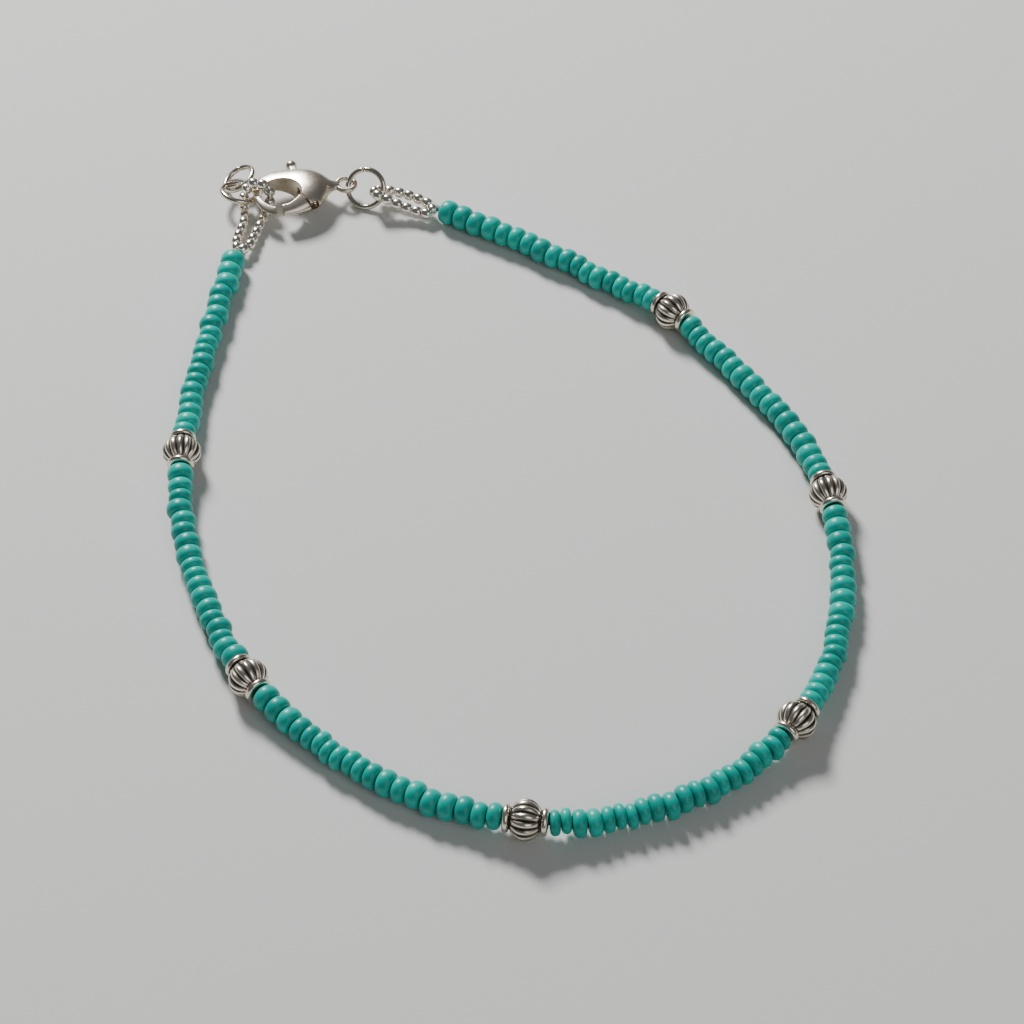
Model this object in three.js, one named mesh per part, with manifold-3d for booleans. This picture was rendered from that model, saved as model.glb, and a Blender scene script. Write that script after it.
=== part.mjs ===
// Beaded anklet: turquoise seed beads and six fluted silver beads on a thread, closed by a
// lobster clasp. It lies on a table. Lengths are in mm, +Z is up, z = 0 is the table.
import * as THREE from "three";
import { mergeVertices } from "three/addons/utils/BufferGeometryUtils.js";
import Module from "manifold-3d";

const wasm = await Module();
wasm.setup();

// Shift from the middle of the ankle opening to the middle of the whole footprint.
const FOOTPRINT_SHIFT_X = 0.76;
const FOOTPRINT_SHIFT_Y = -4.435;

// Thread and turquoise beads.
const THREAD_RADIUS = 0.34;
const BEAD_SIDES = 10;
const BEAD_GROOVE = 0.66;
const BEAD_SHOULDER_AT = 0.27;
const END_GAP = 0.15;
const END_FACE = 0.06;
const RADIUS_BY_SIZE = { s: 1.19, m: 1.24, f: 1.3 };
const WIDTH_BY_SIZE = { s: 0.86, m: 1.0, f: 1.14 };
const OUTWARD_BY_SIDE = { i: -0.14, c: 0, o: 0.14 };

// Fluted silver beads.
const SILVER_RADIUS = 1.92;
const SILVER_HALF_LENGTH = 2.05;
const SILVER_HOLE_RADIUS = 0.62;
const FLUTES = 14;
const FLUTE_DEPTH = 0.17;
const COLLAR_RADIUS = 1.32;
const NECK_RADIUS = 0.98;

// Small silver beads of the end loops.
const SMALL_BEAD_RADIUS = 0.57;
const SMALL_BEAD_COUNT_LEFT = 20;
const SMALL_BEAD_COUNT_RIGHT = 14;
const SMALL_BEAD_GROOVE = 0.55;
const SMALL_BEAD_SHOULDER_AT = 0.24;

// Jump rings.
const RING_WIRE_RADIUS = 0.3;
const RING_WIRE_SIDES = 6;
const RING_STEPS = 22;

// Clasp, in its own plane: u runs from the eye to the nose, w to the gate's side.
const CLASP_EYE = new THREE.Vector3(-17.8, 45.03, 1.75);
const CLASP_HEADING_DEG = -164.2;
const CLASP_RISE_DEG = 2.0;
const EYE_RADIUS = 0.97;
const EYE_WIRE_RADIUS = 0.3;
const SECTION_SIDES = 24;
const NEAR_FULLNESS = 2;
const FAR_FULLNESS = 3;
const OPENING_CENTRE_U = 7.25;
const OPENING_CENTRE_W = 0.42;
const OPENING_HALF_LENGTH = 2.32;
const OPENING_HALF_WIDTH = 1.98;
const OPENING_TILT_DEG = -38;
const PIVOT_U = 4.55;
const PIVOT_W = 1.5;
const PIN_RADIUS = 0.28;
const PIN_HALF_LENGTH = 1.08;
const PIN_HOLE_RADIUS = 0.36;
const SLOT_HALF_HEIGHT = 0.52;
const LEVER_HALF_HEIGHT = 0.42;
const HUB_RADIUS = 0.72;
const KNOB_RADIUS = 0.62;
const KNOB_U = 5.05;
const KNOB_W = -4.25;
const GATE_OPEN_DEG = 20;
const GATE_STEP_DEG = 10;
const GATE_GAP = 0.12;

// Middle line of the strand, from the hook's end round to the clasp's eye.
const ROUTE = [
  { x: -29.1, y: 34.5 },
  { x: -30.6, y: 25.1 },
  { x: -31.9, y: 15.6 },
  { x: -32.5, y: 6.1 },
  { x: -31.6, y: -3.8 },
  { x: -28.6, y: -13.1 },
  { x: -24.2, y: -22.0 },
  { x: -17.0, y: -29.3 },
  { x: -8.5, y: -34.8 },
  { x: 1.5, y: -37.8 },
  { x: 10.7, y: -36.8 },
  { x: 19.0, y: -33.2 },
  { x: 26.1, y: -26.5 },
  { x: 30.0, y: -18.2 },
  { x: 31.5, y: -8.6 },
  { x: 30.7, y: 0.8 },
  { x: 27.7, y: 10.0 },
  { x: 22.4, y: 18.1 },
  { x: 16.2, y: 25.9 },
  { x: 8.8, y: 31.5 },
  { x: 0.8, y: 36.9 },
  { x: -7.5, y: 41.5 },
];
const ROUTE_LOW = 1.33;
const ROUTE_HIGH = 1.93;
const RISE_REACH = 3.4;

// Distance along the strand of each silver bead's middle, and the turquoise beads between them.
// A bead is s slim, m medium or f full, and sits i inside, c centred or o outside on the thread.
const SILVER_AT = [28.6, 58.3, 89.1, 117.3, 146.1, 175.2];
const RUNS = [
  { sizes: "fffmmmmsssmssmmmms", sides: "cciocioicciccociic" },
  { sizes: "fmsfmmffssmfmsmsmf", sides: "cccoiciccccccoiooi" },
  { sizes: "fffmssssssmfmffffmm", sides: "ccccciooicccciocioc" },
  { sizes: "ssffmssmfffmfmmmmfms", sides: "oioocioiioiioicocioc" },
  { sizes: "ssmmsssssfffmsmffm", sides: "cccccociiccccioccc" },
  { sizes: "smffffmmmffmmmssm", sides: "cccoccccicccociic" },
  { sizes: "sssssmssmmfmmmffff", sides: "coicoiiooiiccicicc" },
];

// Middle line of each closed end loop.
const LOOP_LEFT = [
  { x: -28.8, y: 35.55, z: 1.15 },
  { x: -29.1, y: 36.9, z: 0.96 },
  { x: -28.9, y: 38.4, z: 0.8 },
  { x: -28.6, y: 39.9, z: 0.69 },
  { x: -28.5, y: 41.5, z: 0.69 },
  { x: -28.7, y: 43.0, z: 1.04 },
  { x: -28.3, y: 43.6, z: 2.4 },
  { x: -27.05, y: 43.5, z: 3.42 },
  { x: -25.8, y: 43.0, z: 2.42 },
  { x: -26.1, y: 41.95, z: 0.96 },
  { x: -26.6, y: 40.5, z: 0.67 },
  { x: -27.0, y: 39.0, z: 0.73 },
  { x: -27.4, y: 37.6, z: 0.84 },
  { x: -27.8, y: 36.2, z: 1.01 },
];
const LOOP_RIGHT = [
  { x: -8.65, y: 42.2, z: 1.27 },
  { x: -9.5, y: 42.9, z: 1.31 },
  { x: -10.6, y: 43.5, z: 1.38 },
  { x: -11.8, y: 44.0, z: 1.41 },
  { x: -13.2, y: 44.48, z: 1.33 },
  { x: -14.58, y: 44.28, z: 1.6 },
  { x: -14.5, y: 42.97, z: 2.22 },
  { x: -13.1, y: 42.5, z: 1.8 },
  { x: -11.9, y: 42.1, z: 1.37 },
  { x: -10.6, y: 41.7, z: 1.11 },
  { x: -9.5, y: 41.25, z: 1.08 },
  { x: -8.55, y: 41.15, z: 1.17 },
];

const RINGS = [
  { name: "clasp_ring", x: -15.65, y: 44.35, z: 1.81, radius: 2.0, lean: [-0.25, -0.711, 0.658] },
  { name: "end_ring_near", x: -29.22, y: 43.91, z: 1.53, radius: 1.8, lean: [0.215, 0.22, 0.951] },
  { name: "end_ring_far", x: -29.42, y: 46.61, z: 1.11, radius: 1.7, lean: [-0.472, 0.041, 0.881] },
];

// Cross-sections of the clasp along u: how far it reaches to the gate's side (near) and to the
// thumb's side (far), and half its thickness.
const CLASP_SECTIONS = [
  { u: 0.75, near: 0.4, far: 0.4, half: 0.34 },
  { u: 1.5, near: 0.58, far: 0.75, half: 0.52 },
  { u: 2.0, near: 0.95, far: 1.4, half: 0.78 },
  { u: 2.5, near: 1.6, far: 1.95, half: 1.04 },
  { u: 3.2, near: 2.3, far: 2.45, half: 1.26 },
  { u: 4.0, near: 2.75, far: 2.8, half: 1.36 },
  { u: 4.9, near: 3.04, far: 3.05, half: 1.32 },
  { u: 5.8, near: 3.19, far: 3.25, half: 1.18 },
  { u: 6.7, near: 3.22, far: 3.4, half: 1.02 },
  { u: 7.6, near: 3.14, far: 3.42, half: 0.86 },
  { u: 8.4, near: 2.92, far: 3.2, half: 0.7 },
  { u: 9.1, near: 2.42, far: 2.75, half: 0.56 },
  { u: 9.6, near: 1.8, far: 2.0, half: 0.46 },
  { u: 9.88, near: 1.1, far: 1.25, half: 0.4 },
  { u: 10.0, near: 0.5, far: 0.6, half: 0.34 },
];

// Outlines in the clasp's plane.
const GATE_OUTLINE = [
  { u: 7.5, w: 2.18 },
  { u: 7.5, w: 3.7 },
  { u: 3.9, w: 3.7 },
  { u: 4.45, w: 2.9 },
  { u: 5.4, w: 1.45 },
  { u: 5.9, w: 1.85 },
  { u: 6.7, w: 2.2 },
];
const TONGUE_OUTLINE = [
  { u: 4.3, w: 0.95 },
  { u: 5.2, w: 1.3 },
  { u: 6.0, w: 2.3 },
  { u: 5.5, w: 2.95 },
  { u: 4.75, w: 2.75 },
  { u: 4.0, w: 1.8 },
];
const THUMB_OUTLINE = [
  { u: 4.2, w: 1.5 },
  { u: 4.72, w: -4.2 },
  { u: 5.38, w: -4.2 },
  { u: 4.93, w: 1.5 },
];
const SLOT_OUTLINE = [
  { u: 2.2, w: -4.3 },
  { u: 5.72, w: -4.3 },
  { u: 5.24, w: 0.0 },
  { u: 5.6, w: 0.8 },
  { u: 6.2, w: 3.7 },
  { u: 3.7, w: 3.7 },
  { u: 3.55, w: 2.3 },
  { u: 3.55, w: 0.7 },
  { u: 2.2, w: -1.6 },
];

const UP = new THREE.Vector3(0, 0, 1);

function material(colour, roughness, metalness) {
  return new THREE.MeshStandardMaterial({ color: colour, roughness, metalness });
}

function solidOf(geometry) {
  const bare = geometry.clone();
  bare.deleteAttribute("normal");
  bare.deleteAttribute("uv");
  const merged = mergeVertices(bare, 1e-4);
  return new wasm.Manifold(
    new wasm.Mesh({
      numProp: 3,
      vertProperties: new Float32Array(merged.attributes.position.array),
      triVerts: new Uint32Array(merged.index.array),
    }),
  );
}

function geometryOf(solid) {
  const mesh = solid.getMesh();
  const geometry = new THREE.BufferGeometry();
  geometry.setAttribute("position", new THREE.BufferAttribute(mesh.vertProperties, mesh.numProp));
  geometry.setIndex(new THREE.BufferAttribute(mesh.triVerts, 1));
  return geometry;
}

// Closed skin over rings of points. Each ring holds as many points as its neighbour, or half or
// twice as many. A closed loft joins its last ring to its first, an open one is capped.
function loft(rings, closed) {
  const positions = [];
  const starts = [];
  for (const ring of rings) {
    starts.push(positions.length / 3);
    for (const point of ring) {
      positions.push(point.x, point.y, point.z);
    }
  }
  const triangles = [];
  const last = closed ? rings.length : rings.length - 1;
  for (let r = 0; r < last; r += 1) {
    const next = (r + 1) % rings.length;
    band(triangles, starts[r], rings[r].length, starts[next], rings[next].length);
  }
  if (!closed) {
    cap(triangles, positions, rings[0], starts[0], true);
    cap(triangles, positions, rings[rings.length - 1], starts[rings.length - 1], false);
  }
  const geometry = new THREE.BufferGeometry();
  geometry.setAttribute("position", new THREE.Float32BufferAttribute(positions, 3));
  geometry.setIndex(triangles);
  return geometry;
}

function band(triangles, a, countA, b, countB) {
  if (countA === countB) {
    for (let i = 0; i < countA; i += 1) {
      const j = (i + 1) % countA;
      triangles.push(a + i, a + j, b + i, a + j, b + j, b + i);
    }
    return;
  }
  const fine = countA > countB;
  const half = fine ? countB : countA;
  const full = half * 2;
  const [narrow, wide] = fine ? [b, a] : [a, b];
  for (let i = 0; i < half; i += 1) {
    const n0 = narrow + i;
    const n1 = narrow + ((i + 1) % half);
    const w0 = wide + 2 * i;
    const w1 = wide + 2 * i + 1;
    const w2 = wide + ((2 * i + 2) % full);
    const faces = [
      [n0, w1, w0],
      [n0, n1, w1],
      [n1, w2, w1],
    ];
    for (const [p, q, s] of faces) {
      triangles.push(...(fine ? [p, s, q] : [p, q, s]));
    }
  }
}

function cap(triangles, positions, ring, start, first) {
  const middle = new THREE.Vector3();
  for (const point of ring) {
    middle.add(point);
  }
  middle.divideScalar(ring.length);
  const centre = positions.length / 3;
  positions.push(middle.x, middle.y, middle.z);
  for (let i = 0; i < ring.length; i += 1) {
    const j = (i + 1) % ring.length;
    triangles.push(centre, start + (first ? j : i), start + (first ? i : j));
  }
}

// Ring of points square to a curve. Its side vector stays level.
function crossRing(curve, length, distance, radius, sides, outward = 0) {
  const t = THREE.MathUtils.euclideanModulo(distance / length, 1);
  const at = distance === length ? 1 : t;
  const middle = curve.getPointAt(at);
  const forward = curve.getTangentAt(at);
  const side = new THREE.Vector3().crossVectors(UP, forward).normalize();
  const above = new THREE.Vector3().crossVectors(forward, side);
  middle.addScaledVector(side, -outward);
  const ring = [];
  for (let i = 0; i < sides; i += 1) {
    const angle = (2 * Math.PI * i) / sides;
    ring.push(
      middle
        .clone()
        .addScaledVector(side, radius * Math.cos(angle))
        .addScaledVector(above, radius * Math.sin(angle)),
    );
  }
  return ring;
}

function curveThrough(points, closed) {
  const curve = new THREE.CatmullRomCurve3(points, closed, "catmullrom", 0.5);
  curve.arcLengthDivisions = 1600;
  return curve;
}

// The thread lies low between the silver beads and rises to pass through them.
function strandCurve() {
  const flat = curveThrough(
    ROUTE.map(({ x, y }) => new THREE.Vector3(x, y, 0)),
    false,
  );
  const length = flat.getLength();
  const steps = 205;
  const points = [];
  for (let i = 0; i <= steps; i += 1) {
    const distance = (length * i) / steps;
    const point = flat.getPointAt(i / steps);
    const away = Math.min(...SILVER_AT.map((at) => Math.abs(at - distance)));
    const lift = Math.exp(-((Math.max(away - 1.2, 0) / RISE_REACH) ** 2));
    point.z = ROUTE_LOW + (ROUTE_HIGH - ROUTE_LOW) * lift;
    points.push(point);
  }
  return curveThrough(points, false);
}

function turquoiseStrand(curve) {
  const length = curve.getLength();
  const stations = [];
  let from = 0;
  RUNS.forEach(({ sizes, sides }, index) => {
    const to = index < SILVER_AT.length ? SILVER_AT[index] - SILVER_HALF_LENGTH - END_GAP : length;
    const widths = [...sizes].map((size) => WIDTH_BY_SIZE[size]);
    const unit = (to - from) / widths.reduce((sum, width) => sum + width, 0);
    stations.push({ distance: from, radius: THREAD_RADIUS, outward: 0 });
    let edge = from;
    [...sizes].forEach((size, bead) => {
      const thickness = widths[bead] * unit;
      const radius = RADIUS_BY_SIZE[size];
      const middle = edge + thickness / 2;
      const shoulder = thickness * BEAD_SHOULDER_AT;
      const groove = bead === 0 ? edge + END_FACE : edge;
      const outward = OUTWARD_BY_SIDE[sides[bead]];
      stations.push({ distance: groove, radius: radius * BEAD_GROOVE, outward: 0 });
      stations.push({ distance: middle - shoulder, radius, outward });
      stations.push({ distance: middle + shoulder, radius, outward });
      edge += thickness;
    });
    stations.push({ distance: to - END_FACE, radius: RADIUS_BY_SIZE.m * BEAD_GROOVE, outward: 0 });
    stations.push({ distance: to, radius: THREAD_RADIUS, outward: 0 });
    from = to + 2 * (SILVER_HALF_LENGTH + END_GAP);
  });
  const rings = stations.map(({ distance, radius, outward }) =>
    crossRing(curve, length, distance, radius, BEAD_SIDES, outward),
  );
  return loft(rings, false);
}

// Ring square to the x axis with alternate points drawn in to make the flutes.
function flutedRing(x, radius, count, depth) {
  const ring = [];
  for (let i = 0; i < count; i += 1) {
    const angle = (2 * Math.PI * i) / count;
    const reach = count > FLUTES && i % 2 === 1 ? radius - depth : radius;
    ring.push(new THREE.Vector3(x, reach * Math.cos(angle), reach * Math.sin(angle)));
  }
  return ring;
}

function silverBead() {
  const half = [
    { x: 0.42, radius: SILVER_RADIUS, count: 2 * FLUTES, depth: FLUTE_DEPTH },
    { x: 1.08, radius: 1.53, count: 2 * FLUTES, depth: FLUTE_DEPTH },
    { x: 1.4, radius: NECK_RADIUS, count: FLUTES, depth: 0 },
    { x: 1.52, radius: COLLAR_RADIUS, count: FLUTES, depth: 0 },
    { x: 1.92, radius: COLLAR_RADIUS, count: FLUTES, depth: 0 },
    { x: SILVER_HALF_LENGTH, radius: 1.02, count: FLUTES, depth: 0 },
    { x: SILVER_HALF_LENGTH, radius: SILVER_HOLE_RADIUS, count: FLUTES, depth: 0 },
  ];
  const left = [...half].reverse().map((row) => flutedRing(-row.x, row.radius, row.count, row.depth));
  const right = half.map((row) => flutedRing(row.x, row.radius, row.count, row.depth));
  return loft([...left, ...right], true);
}

function placeSilverBead(geometry, curve, distance) {
  const t = distance / curve.getLength();
  const middle = curve.getPointAt(t);
  const forward = curve.getTangentAt(t);
  forward.z = 0;
  forward.normalize();
  const side = new THREE.Vector3().crossVectors(UP, forward);
  const frame = new THREE.Matrix4().makeBasis(forward, side, UP).setPosition(middle);
  return geometry.clone().applyMatrix4(frame);
}

function beadLoop(points, count) {
  const curve = curveThrough(
    points.map(({ x, y, z }) => new THREE.Vector3(x, y, z)),
    true,
  );
  const length = curve.getLength();
  const pitch = length / count;
  const rings = [];
  for (let bead = 0; bead < count; bead += 1) {
    const middle = (bead + 0.5) * pitch;
    const stations = [
      { distance: bead * pitch, radius: SMALL_BEAD_RADIUS * SMALL_BEAD_GROOVE },
      { distance: middle - pitch * SMALL_BEAD_SHOULDER_AT, radius: SMALL_BEAD_RADIUS },
      { distance: middle + pitch * SMALL_BEAD_SHOULDER_AT, radius: SMALL_BEAD_RADIUS },
    ];
    for (const { distance, radius } of stations) {
      rings.push(crossRing(curve, length, distance, radius, BEAD_SIDES));
    }
  }
  return loft(rings, true);
}

function jumpRing({ x, y, z, radius, lean }) {
  const geometry = new THREE.TorusGeometry(radius, RING_WIRE_RADIUS, RING_WIRE_SIDES, RING_STEPS);
  const turn = new THREE.Quaternion().setFromUnitVectors(UP, new THREE.Vector3(...lean).normalize());
  geometry.applyQuaternion(turn);
  geometry.translate(x, y, z);
  return geometry;
}

function plate(outline, halfHeight) {
  const shape = new THREE.Shape(outline.map(({ u, w }) => new THREE.Vector2(u, w)));
  const geometry = new THREE.ExtrudeGeometry(shape, { depth: 2 * halfHeight, bevelEnabled: false });
  geometry.translate(0, 0, -halfHeight);
  return geometry;
}

function clearOf(outline, gap) {
  const middle = { u: 0, w: 0 };
  for (const point of outline) {
    middle.u += point.u / outline.length;
    middle.w += point.w / outline.length;
  }
  return outline.map(({ u, w }) => {
    const length = Math.hypot(u - middle.u, w - middle.w);
    return { u: u + ((u - middle.u) * gap * 1.4) / length, w: w + ((w - middle.w) * gap * 1.4) / length };
  });
}

// Cross-section of the clasp: an ellipse on the gate's side, fuller than that on the thumb's side.
function sectionRing({ u, near, far, half }) {
  const middle = (near - far) / 2;
  const reach = (near + far) / 2;
  const ring = [];
  for (let i = 0; i < SECTION_SIDES; i += 1) {
    const angle = (2 * Math.PI * i) / SECTION_SIDES;
    const across = Math.cos(angle);
    const rise = Math.sin(angle);
    const power = 2 / (across > 0 ? NEAR_FULLNESS : FAR_FULLNESS);
    const w = middle + reach * Math.sign(across) * Math.abs(across) ** power;
    ring.push(new THREE.Vector3(u, w, half * Math.sign(rise) * Math.abs(rise) ** power));
  }
  return ring;
}

function claspBlank() {
  return solidOf(loft(CLASP_SECTIONS.map(sectionRing), false));
}

function openingOutline() {
  const points = [];
  const steps = 22;
  const tilt = THREE.MathUtils.degToRad(OPENING_TILT_DEG);
  for (let i = 0; i < steps; i += 1) {
    const angle = (2 * Math.PI * i) / steps;
    const along = OPENING_HALF_LENGTH * Math.cos(angle);
    const across = OPENING_HALF_WIDTH * Math.sin(angle);
    points.push({
      u: OPENING_CENTRE_U + along * Math.cos(tilt) - across * Math.sin(tilt),
      w: OPENING_CENTRE_W + along * Math.sin(tilt) + across * Math.cos(tilt),
    });
  }
  return points;
}

function pivotCylinder(radius, halfLength) {
  const geometry = new THREE.CylinderGeometry(radius, radius, 2 * halfLength, 14);
  geometry.rotateX(Math.PI / 2);
  geometry.translate(PIVOT_U, PIVOT_W, 0);
  return geometry;
}

function turnedAboutPivot(geometry, degrees) {
  const turned = geometry.clone();
  turned.translate(-PIVOT_U, -PIVOT_W, 0);
  turned.rotateZ(THREE.MathUtils.degToRad(degrees));
  turned.translate(PIVOT_U, PIVOT_W, 0);
  return turned;
}

function claspBody() {
  const eye = new THREE.TorusGeometry(EYE_RADIUS, EYE_WIRE_RADIUS, 8, 18);
  let body = claspBlank().subtract(solidOf(plate(openingOutline(), 3)));
  body = body.add(solidOf(eye));
  const gateSpace = plate(clearOf(GATE_OUTLINE, GATE_GAP), 3);
  for (let degrees = 0; degrees <= GATE_OPEN_DEG; degrees += GATE_STEP_DEG) {
    body = body.subtract(solidOf(turnedAboutPivot(gateSpace, -degrees)));
  }
  body = body.subtract(solidOf(plate(SLOT_OUTLINE, SLOT_HALF_HEIGHT)));
  return body.add(solidOf(pivotCylinder(PIN_RADIUS, PIN_HALF_LENGTH)));
}

function claspLever() {
  const knob = new THREE.SphereGeometry(KNOB_RADIUS, 12, 8);
  knob.translate(KNOB_U, KNOB_W, 0);
  const hub = new THREE.CylinderGeometry(HUB_RADIUS, HUB_RADIUS, 2 * LEVER_HALF_HEIGHT, 18);
  hub.rotateX(Math.PI / 2);
  hub.translate(PIVOT_U, PIVOT_W, 0);
  const gate = claspBlank().intersect(solidOf(plate(GATE_OUTLINE, 2)));
  const inner = solidOf(plate(TONGUE_OUTLINE, LEVER_HALF_HEIGHT))
    .add(solidOf(plate(THUMB_OUTLINE, LEVER_HALF_HEIGHT)))
    .add(solidOf(hub));
  return gate
    .add(inner)
    .add(solidOf(knob))
    .subtract(solidOf(pivotCylinder(PIN_HOLE_RADIUS, 3)));
}

function claspFrame() {
  const heading = THREE.MathUtils.degToRad(CLASP_HEADING_DEG);
  const rise = THREE.MathUtils.degToRad(CLASP_RISE_DEG);
  const along = new THREE.Vector3(
    Math.cos(heading) * Math.cos(rise),
    Math.sin(heading) * Math.cos(rise),
    Math.sin(rise),
  );
  const across = new THREE.Vector3().crossVectors(UP, along).normalize();
  const above = new THREE.Vector3().crossVectors(along, across);
  return new THREE.Matrix4().makeBasis(along, across, above).setPosition(CLASP_EYE);
}

const anklet = new THREE.Group();
anklet.name = "beaded_anklet";

function addPiece(name, geometry, finish) {
  geometry.translate(FOOTPRINT_SHIFT_X, FOOTPRINT_SHIFT_Y, 0);
  const mesh = new THREE.Mesh(geometry, finish);
  mesh.name = name;
  anklet.add(mesh);
}

const strand = strandCurve();
addPiece("turquoise_strand", turquoiseStrand(strand), material(0x14988a, 0.35, 0.0));

const bead = silverBead();
SILVER_AT.forEach((distance, index) => {
  addPiece(`silver_bead_${index + 1}`, placeSilverBead(bead, strand, distance), material(0x9b9892, 0.4, 1.0));
});

addPiece("bead_loop_left", beadLoop(LOOP_LEFT, SMALL_BEAD_COUNT_LEFT), material(0xb8b4ac, 0.3, 1.0));
addPiece("bead_loop_right", beadLoop(LOOP_RIGHT, SMALL_BEAD_COUNT_RIGHT), material(0xb8b4ac, 0.3, 1.0));

for (const ring of RINGS) {
  addPiece(ring.name, jumpRing(ring), material(0xa8a49d, 0.3, 1.0));
}

const frame = claspFrame();
addPiece("clasp_body", geometryOf(claspBody()).applyMatrix4(frame), material(0xb3aca2, 0.35, 1.0));
addPiece("clasp_lever", geometryOf(claspLever()).applyMatrix4(frame), material(0xb3aca2, 0.35, 1.0));

export default anklet;
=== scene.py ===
"""Looks of the beaded anklet: turquoise seed beads, fluted silver beads, bead loops, rings and clasp.

Sizes in the classes are millimetres, as a jeweller gives them. Meshes are made in metres.
"""

import logging
import math
from dataclasses import dataclass, field
from enum import Enum

import bmesh
import bpy
import numpy as np
from mathutils import Matrix, Vector

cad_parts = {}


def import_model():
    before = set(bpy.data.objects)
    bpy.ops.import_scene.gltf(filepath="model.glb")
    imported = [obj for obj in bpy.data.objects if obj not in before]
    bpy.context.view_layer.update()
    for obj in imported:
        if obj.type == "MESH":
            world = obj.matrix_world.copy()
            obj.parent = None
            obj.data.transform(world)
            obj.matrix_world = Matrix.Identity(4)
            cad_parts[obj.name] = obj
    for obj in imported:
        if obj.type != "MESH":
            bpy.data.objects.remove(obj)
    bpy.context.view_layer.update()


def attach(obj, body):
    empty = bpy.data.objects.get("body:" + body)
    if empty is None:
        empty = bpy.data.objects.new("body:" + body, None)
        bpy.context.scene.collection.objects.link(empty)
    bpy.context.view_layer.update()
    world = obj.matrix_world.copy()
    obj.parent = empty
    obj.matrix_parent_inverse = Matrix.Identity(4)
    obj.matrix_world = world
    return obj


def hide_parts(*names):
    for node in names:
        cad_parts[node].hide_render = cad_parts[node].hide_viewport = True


logging.basicConfig(level=logging.INFO, format="%(name)s: %(message)s")
LOG = logging.getLogger("anklet")

MM = 0.001
SEED = 7
PHOTO_SIZE = 1024
UP = np.array([0.0, 0.0, 1.0])
# Moves what lies under the photograph's camera so that its box is centred on the frame.
SHIFT = np.array([0.76, -4.435, 0.0])
CURVE_SAMPLES = 1600
HEADING_REACH = 0.05
WELD_DISTANCE = 1e-7

# Middle line of the string on the table: x and y, fitted to the photograph and rounded.
ROUTE = (
    (-29.1, 34.5),
    (-30.6, 25.1),
    (-31.9, 15.6),
    (-32.5, 6.1),
    (-31.6, -3.8),
    (-28.6, -13.1),
    (-24.2, -22.0),
    (-17.0, -29.3),
    (-8.5, -34.8),
    (1.5, -37.8),
    (10.7, -36.8),
    (19.0, -33.2),
    (26.1, -26.5),
    (30.0, -18.2),
    (31.5, -8.6),
    (30.7, 0.8),
    (27.7, 10.0),
    (22.4, 18.1),
    (16.2, 25.9),
    (8.8, 31.5),
    (0.8, 36.9),
    (-7.5, 41.5),
)
# Distance along the string of each silver bead's middle.
SILVER_AT = (28.6, 58.3, 89.1, 117.3, 146.1, 175.2)
# Each run's beads: s slim, m medium or f full, and whether each sits inside, centred or outside.
RUNS = (
    ("fffmmmmsssmssmmmms", "cciocioicciccociic"),
    ("fmsfmmffssmfmsmsmf", "cccoiciccccccoiooi"),
    ("fffmssssssmfmffffmm", "ccccciooicccciocioc"),
    ("ssffmssmfffmfmmmmfms", "oioocioiioiioicocioc"),
    ("ssmmsssssfffmsmffm", "cccccociiccccioccc"),
    ("smffffmmmffmmmssm", "cccoccccicccociic"),
    ("sssssmssmmfmmmffff", "coicoiiooiiccicicc"),
)
# Middle line of each closed end loop: x, y and height.
LOOP_LEFT = (
    (-28.8, 35.55, 1.15),
    (-29.1, 36.9, 0.96),
    (-28.9, 38.4, 0.8),
    (-28.6, 39.9, 0.69),
    (-28.5, 41.5, 0.69),
    (-28.7, 43.0, 1.04),
    (-28.3, 43.6, 2.4),
    (-27.05, 43.5, 3.42),
    (-25.8, 43.0, 2.42),
    (-26.1, 41.95, 0.96),
    (-26.6, 40.5, 0.67),
    (-27.0, 39.0, 0.73),
    (-27.4, 37.6, 0.84),
    (-27.8, 36.2, 1.01),
)
LOOP_RIGHT = (
    (-8.65, 42.2, 1.27),
    (-9.5, 42.9, 1.31),
    (-10.6, 43.5, 1.38),
    (-11.8, 44.0, 1.41),
    (-13.2, 44.48, 1.33),
    (-14.58, 44.28, 1.6),
    (-14.5, 42.97, 2.22),
    (-13.1, 42.5, 1.8),
    (-11.9, 42.1, 1.37),
    (-10.6, 41.7, 1.11),
    (-9.5, 41.25, 1.08),
    (-8.55, 41.15, 1.17),
)
# Each jump ring's node, middle, mean radius and the way that its face leans.
RINGS = (
    ("clasp_ring", (-15.65, 44.35, 1.81), 2.0, (-0.25, -0.711, 0.658)),
    ("end_ring_near", (-29.22, 43.91, 1.53), 1.8, (0.215, 0.22, 0.951)),
    ("end_ring_far", (-29.42, 46.61, 1.11), 1.7, (-0.472, 0.041, 0.881)),
)

# The clasp from its neck to its nose: place along u, reach to the gate's side, reach to the
# thumb's side and half thickness.
CLASP_SECTIONS = (
    (0.75, 0.4, 0.4, 0.34),
    (1.5, 0.58, 0.75, 0.52),
    (2.0, 0.95, 1.4, 0.78),
    (2.5, 1.6, 1.95, 1.04),
    (3.2, 2.3, 2.45, 1.26),
    (4.0, 2.75, 2.8, 1.36),
    (4.9, 3.04, 3.05, 1.32),
    (5.8, 3.19, 3.25, 1.18),
    (6.7, 3.22, 3.4, 1.02),
    (7.6, 3.14, 3.42, 0.86),
    (8.4, 2.92, 3.2, 0.7),
    (9.1, 2.42, 2.75, 0.56),
    (9.6, 1.8, 2.0, 0.46),
    (9.88, 1.1, 1.25, 0.4),
    (10.0, 0.5, 0.6, 0.34),
)
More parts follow.
